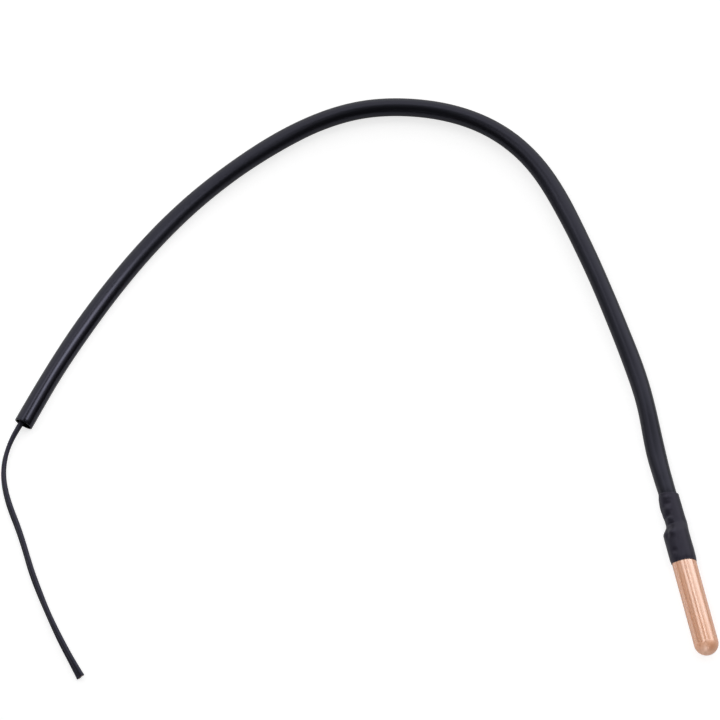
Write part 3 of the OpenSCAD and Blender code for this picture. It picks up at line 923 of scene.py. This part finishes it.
# %% [markdown]
# The boot is cross-linked polyolefin. The heat that shrank it took its gloss away and left it
# slightly mottled, in its colour, its roughness and its relief alike.

# %% Shrunk polyolefin of the boot
MOTTLE_WIDE = 1.111 * MM


def shrunk_polyolefin():
    """Heat-shrink: dark, satin, with mottling a millimetre across."""
    material, tree = start_material("cross-linked polyolefin")
    place = add_node(tree, "TexCoord").outputs["Object"]
    mottle = add_node(tree, "TexNoise", {"Vector": place, "Scale": 1 / MOTTLE_WIDE, "Detail": 4})
    rough = add_node(tree, "MapRange", {
        "Value": mottle.outputs["Fac"], "To Min": 0.36, "To Max": 0.5,
    })
    relief = add_node(tree, "Bump", {
        "Height": mottle.outputs["Fac"], "Strength": 0.4, "Distance": 0.05 * MM,
    })
    colour = add_node(tree, "Mix", {
        MIX_FACTOR: mottle.outputs["Fac"], MIX_A: linear("#17151D"), MIX_B: linear("#201E29"),
    }, data_type="RGBA")
    plastic = add_node(tree, "BsdfPrincipled", {
        "Base Color": colour.outputs[MIX_RESULT], "Roughness": rough.outputs[0], "IOR": 1.5,
        "Specular Tint": linear("#E8E4FF"), "Normal": relief.outputs[0],
    })
    add_node(tree, "OutputMaterial", {"Surface": plastic.outputs[0]})
    return material


wear(boot, shrunk_polyolefin())

# %% [markdown]
# The pieces sealed in the resin keep their CAD meshes. They show only where a part is cut open or
# taken apart, and then each should be what it is: tinned wire, a ceramic chip, an epoxy drop, crimped
# ferrules under film tube, and the resin. They share one recipe, also with the strands, whose cut
# ends do show: a colour that varies a little over the surface, and a roughness that follows it.

# %% Sealed pieces
def plain_finish(name, colour, darker, grain, roughness, metallic=0.0, ior=1.5):
    """A finish with fine variation: noise with grains of that size mixes two colours."""
    material, tree = start_material(name)
    place = add_node(tree, "TexCoord").outputs["Object"]
    noise = add_node(tree, "TexNoise", {"Vector": place, "Scale": 1 / grain, "Detail": 3})
    rough = add_node(tree, "MapRange", {
        "Value": noise.outputs["Fac"], "To Min": roughness - 0.05, "To Max": roughness + 0.05,
    })
    mixed = add_node(tree, "Mix", {
        MIX_FACTOR: noise.outputs["Fac"], MIX_A: linear(colour), MIX_B: linear(darker),
    }, data_type="RGBA")
    shader = add_node(tree, "BsdfPrincipled", {
        "Base Color": mixed.outputs[MIX_RESULT], "Roughness": rough.outputs[0],
        "Metallic": metallic, "IOR": ior,
    })
    add_node(tree, "OutputMaterial", {"Surface": shader.outputs[0]})
    return material


# Tinned copper: pale, satin, from the tin bath. Bare strands: warmer and brighter than the tube.
tinned_copper = plain_finish("tinned copper", "#CDCCC8", "#B5B4B0", 0.3 * MM, 0.3, metallic=1)
bare_strands = plain_finish("annealed copper strand", "#E8A57F", "#C98862", 0.2 * MM, 0.3, metallic=1)
# Sintered metal oxides: dark grey and dull, with grain that is drawn coarser than it is.
sintered_oxide = plain_finish("sintered oxide ceramic", "#55565A", "#45464A", 0.1 * MM, 0.7)
# Dipped epoxy: glossy and a little uneven in its green-black.
dipped_epoxy = plain_finish("dipped epoxy", "#30413A", "#26352F", 0.5 * MM, 0.2, ior=1.55)
# Polyimide film: amber and smooth.
polyimide_film = plain_finish("polyimide film", "#C08A2C", "#A87420", 0.8 * MM, 0.25, ior=1.7)
# Filled casting resin: brown-black and matt.
casting_resin = plain_finish("filled epoxy resin", "#2B241F", "#221C18", 0.2 * MM, 0.55, ior=1.55)

sealed = {
    "thermistor_chip": sintered_oxide, "bead_coat": dipped_epoxy, "potting": casting_resin,
    "thermistor_wire_a": tinned_copper, "thermistor_wire_b": tinned_copper,
    "splice_a": tinned_copper, "splice_b": tinned_copper,
    "splice_tube_a": polyimide_film, "splice_tube_b": polyimide_film,
}
for name, material in sealed.items():
    wear(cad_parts[name], material)
for bundle in strands:
    wear(bundle, bare_strands)

# %% [markdown]
# The sensor lies on a white table under soft lights, and the table is to look white right up to it.
# The table is a plain pale diffuse surface, so it takes the soft shadow. Rays from the camera, and
# those mirrored in the sensor, also see a white glow of its own, which lifts it to white in the
# picture without putting any more light on the sensor.

# %% Table
# The table reaches four metres each way, and lies a hair below the sensor.
TABLE_HALF = 4.0
TABLE_BELOW = 0.02 * MM
TABLE_CAMERA_GLOW = 0.77
TABLE_MIRRORED_GLOW = 0.1

table_corners = np.array([[-1, -1, 0], [1, -1, 0], [1, 1, 0], [-1, 1, 0]]) * TABLE_HALF
table = add_piece("table", table_corners - [0, 0, TABLE_BELOW], np.array([[0, 1, 2, 3]]))


def glow_seen(tree, for_all, for_camera, for_mirrored):
    """Strength of a glow: one part that all rays see, one for camera rays, one for mirrored rays.

    Mirrored rays are glossy and transmission rays. It also gives 1 for these and 0 for others.
    """
    path = add_node(tree, "LightPath")
    mirrored = add_node(tree, "Math", {
        0: path.outputs["Is Glossy Ray"], 1: path.outputs["Is Transmission Ray"],
    }, operation="MAXIMUM").outputs[0]
    dimmed = add_node(tree, "Math", {
        0: mirrored, 1: for_mirrored, 2: for_all,
    }, operation="MULTIPLY_ADD").outputs[0]
    strength = add_node(tree, "Math", {
        0: path.outputs["Is Camera Ray"], 1: for_camera, 2: dimmed,
    }, operation="MULTIPLY_ADD").outputs[0]
    return strength, mirrored


def white_table():
    """Matt white paint, paler to mirrored rays, plus a glow that these and camera rays see."""
    material, tree = start_material("matt white table")
    strength, mirrored = glow_seen(tree, 0, TABLE_CAMERA_GLOW, TABLE_MIRRORED_GLOW)
    colour = add_node(tree, "Mix", {
        MIX_FACTOR: mirrored, MIX_A: linear("#B0B0B0"), MIX_B: linear("#E6E6E6"),
    }, data_type="RGBA")
    paint = add_node(tree, "BsdfDiffuse", {"Color": colour.outputs[MIX_RESULT]})
    glow = add_node(tree, "Emission", {"Strength": strength})
    both = add_node(tree, "AddShader", {0: paint.outputs[0], 1: glow.outputs[0]})
    add_node(tree, "OutputMaterial", {"Surface": both.outputs[0]})
    return material


wear(table, white_table())

# %% [markdown]
# A picture of glossy black tube is a picture of its lamps: each streak along the sleeve is a softbox
# mirrored in it. That makes the lamps readable. A streak's place across the round says which way the
# surface faces there, and so which way its lamp stands; its width gives the lamp's width, and its
# brightness the lamp's. The broadest is a large softbox beyond the far side of the set, and smaller
# ones stand to the right, to the left and high up. Below the camera it stays dark, and that contrast
# is what makes the sleeve look round.
# A softbox is placed by the direction in which it is seen from the place it is aimed at.

# %% Softboxes
SET_MIDDLE = np.array([-60, 70, 0]) * MM


def add_softbox(name, azimuth, elevation, width, height, brightness, roll=0, aim=SET_MIDDLE,
                away=1.5, grid=180):
    """A rectangular lamp that faces its aim from some metres away, in a direction in degrees.

    The azimuth turns from +Y to +X. The roll turns the lamp about its own axis. A lamp as bright as
    the given radiance needs pi times its area times that radiance in watts. A grid narrows its light
    to an angle and gathers it by tan(a) / (tan(a) - a), with a half that angle, so it needs less.
    """
    half = np.radians(grid) / 2
    azimuth, elevation = np.radians([azimuth, elevation])
    data = bpy.data.lights.new(name, "AREA")
    data.shape = "RECTANGLE"
    data.size, data.size_y = width, height
    data.energy = np.pi * width * height * brightness * (1 - half / np.tan(half))
    data.spread = np.radians(grid)
    toward = Vector((
        np.sin(azimuth) * np.cos(elevation), np.cos(azimuth) * np.cos(elevation), np.sin(elevation),
    ))
    lamp = bpy.data.objects.new(name, data)
    lamp.location = Vector(aim) + away * toward
    rolled = Quaternion((0, 0, 1), np.radians(roll))
    lamp.rotation_euler = (toward.to_track_quat("Z", "Y") @ rolled).to_euler()
    bpy.context.collection.objects.link(lamp)
    print(f"{name}: {data.energy:.2f} W")


# %% [markdown]
# Two of the lamps carry a grid, which keeps their light to one place: a strip over the sleeve's free
# end, which has a narrow bright streak that the rest hasn't, and a small one in front of the copper
# dome.

# %% Lights
SLEEVE_END = np.array([-145.6, 91.8, 0]) * MM
DOME_PLACE = np.array([0, -20, 3]) * MM

# Each lamp: azimuth and elevation in degrees, width and height in metres, brightness.
add_softbox("far softbox", 6, 36.4, 6.5, 2.2, 1.07)
add_softbox("right softbox", 83, 34, 1.3, 1.4, 0.62)
add_softbox("left softbox", -63.5, 65.5, 1.03, 0.5, 1.3)
add_softbox("low left softbox", -82, 22, 0.7, 0.9, 0.3)
add_softbox("strip softbox with a grid", 85.5, 70.5, 0.275, 0.065, 7.2,
            roll=39.5, aim=SLEEVE_END, away=0.25, grid=44)
add_softbox("high right softbox", 45, 65, 0.6, 0.5, 0.75)
add_softbox("small softbox with a grid", 203, 32, 0.11, 0.11, 27,
            aim=DOME_PLACE, away=0.35, grid=20)

# %% [markdown]
# The world is a dim room that fills the shadows a little. Mirrored rays see it over twice as bright,
# and camera rays see plain white, so that a view from low down is white above the table too. The
# Standard view shows each colour as it was written.

# %% World and view
ROOM_GLOW, ROOM_CAMERA_GLOW, ROOM_MIRRORED_GLOW = 0.03, 0.97, 0.04

world = bpy.data.worlds.new("studio")
world.use_nodes = True
world.node_tree.nodes.clear()
strength, _ = glow_seen(world.node_tree, ROOM_GLOW, ROOM_CAMERA_GLOW, ROOM_MIRRORED_GLOW)
room = add_node(world.node_tree, "Background", {"Color": linear("#FFFFFF"), "Strength": strength})
add_node(world.node_tree, "OutputWorld", {"Surface": room.outputs[0]})
bpy.context.scene.world = world
bpy.context.scene.view_settings.view_transform = "Standard"
